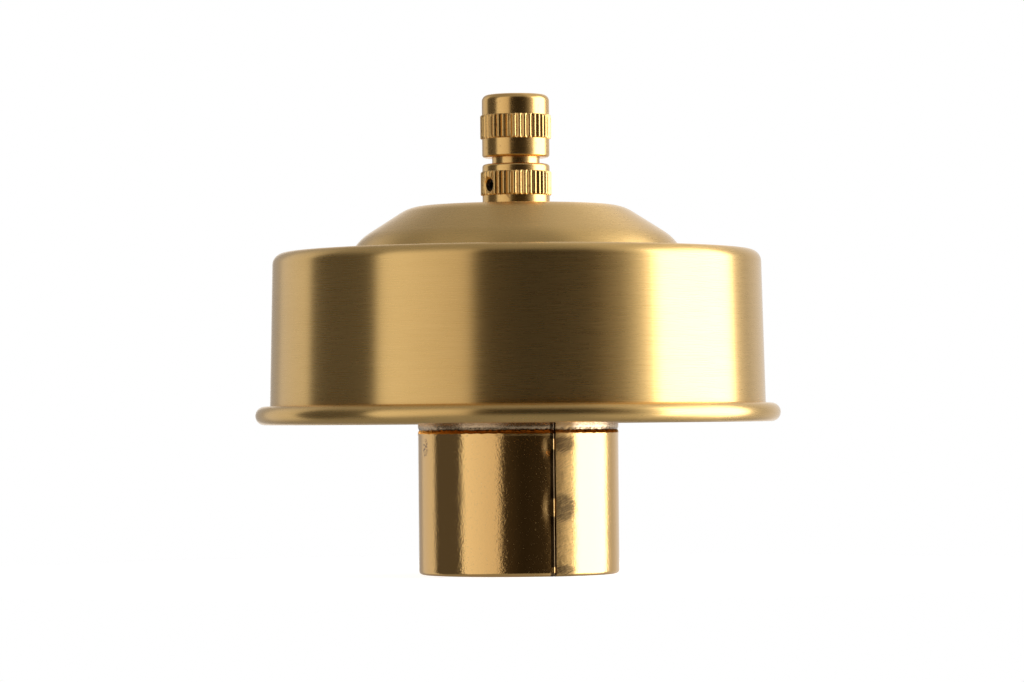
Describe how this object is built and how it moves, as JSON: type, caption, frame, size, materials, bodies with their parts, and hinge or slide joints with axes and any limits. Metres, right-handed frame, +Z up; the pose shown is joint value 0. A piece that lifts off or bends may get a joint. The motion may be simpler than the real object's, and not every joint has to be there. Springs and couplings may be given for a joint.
{
  "type": "pendant lampholder with metal shade",
  "caption": "Brass pendant lampholder: ribbed cord grip, small domed drum shade with a rolled rim, seamed metal sleeve around a screw-base holder.",
  "frame": {"origin": "on the common axis, in the plane of the sleeve's bottom lip", "axes": "+Z up along the common axis towards the cord entry; -Y towards the viewer of the picture, +X to the viewer's right"},
  "size_m": [0.1048, 0.1047, 0.0957],
  "materials": {
    "satin_brass": "spun and brushed round the axis, satin",
    "turned_brass": "turned, bright",
    "polished_brass": "mirror polished sheet",
    "plain_brass": "plain, as made",
    "zinc_steel": "zinc plated",
    "black_steel": "chemically blackened",
    "black_moulding": "moulded, slightly glossy",
    "white_ceramic": "dry pressed, half glazed",
    "white_nylon": "moulded nylon"
  },
  "bodies": {
    "root": {"shade": "satin_brass", "grip_body": "turned_brass", "sleeve": "polished_brass", "sleeve_lid": "polished_brass", "threaded_tube": "plain_brass", "lower_nut": "plain_brass", "upper_nut": "plain_brass", "clamp_washer": "plain_brass", "screw_shell": "plain_brass", "shell_rivets": "plain_brass", "live_terminal": "plain_brass", "neutral_terminal": "plain_brass", "lock_washer": "zinc_steel", "contact_spring": "zinc_steel", "terminal_screws": "zinc_steel", "holder_grub_screw": "zinc_steel", "grip_grub_screw": "black_steel", "holder_cap": "black_moulding", "holder_barrel": "black_moulding", "terminal_block": "white_ceramic"},
    "clamp_ring": {"grip_ferrule": "white_nylon"},
    "clamp_cap": {"grip_cap": "turned_brass"},
    "contact": {"centre_contact": "plain_brass", "contact_ring": "zinc_steel"}
  },
  "joints": [
    {"name": "grip_lift", "type": "slide", "parent": "root", "child": "clamp_ring", "axis": [0, 0, 1], "range_m": [-0.00101, 0.00401]},
    {"name": "grip_turn", "type": "hinge", "parent": "clamp_ring", "child": "clamp_cap", "pos_m": [0, 0, 0.0894], "axis": [0, 0, 1], "range_deg": [-360, 1440]},
    {"name": "contact_press", "type": "slide", "parent": "root", "child": "contact", "axis": [0, 0, 1], "range_m": [0, 0.002], "stiffness_N_per_m": 600, "springref_m": -0.0002, "deforming": ["contact_spring"]}
  ],
  "couplings": [
    {"joint": "grip_lift", "follows": "grip_turn", "m_per_rad": 0.00015915}
  ]
}
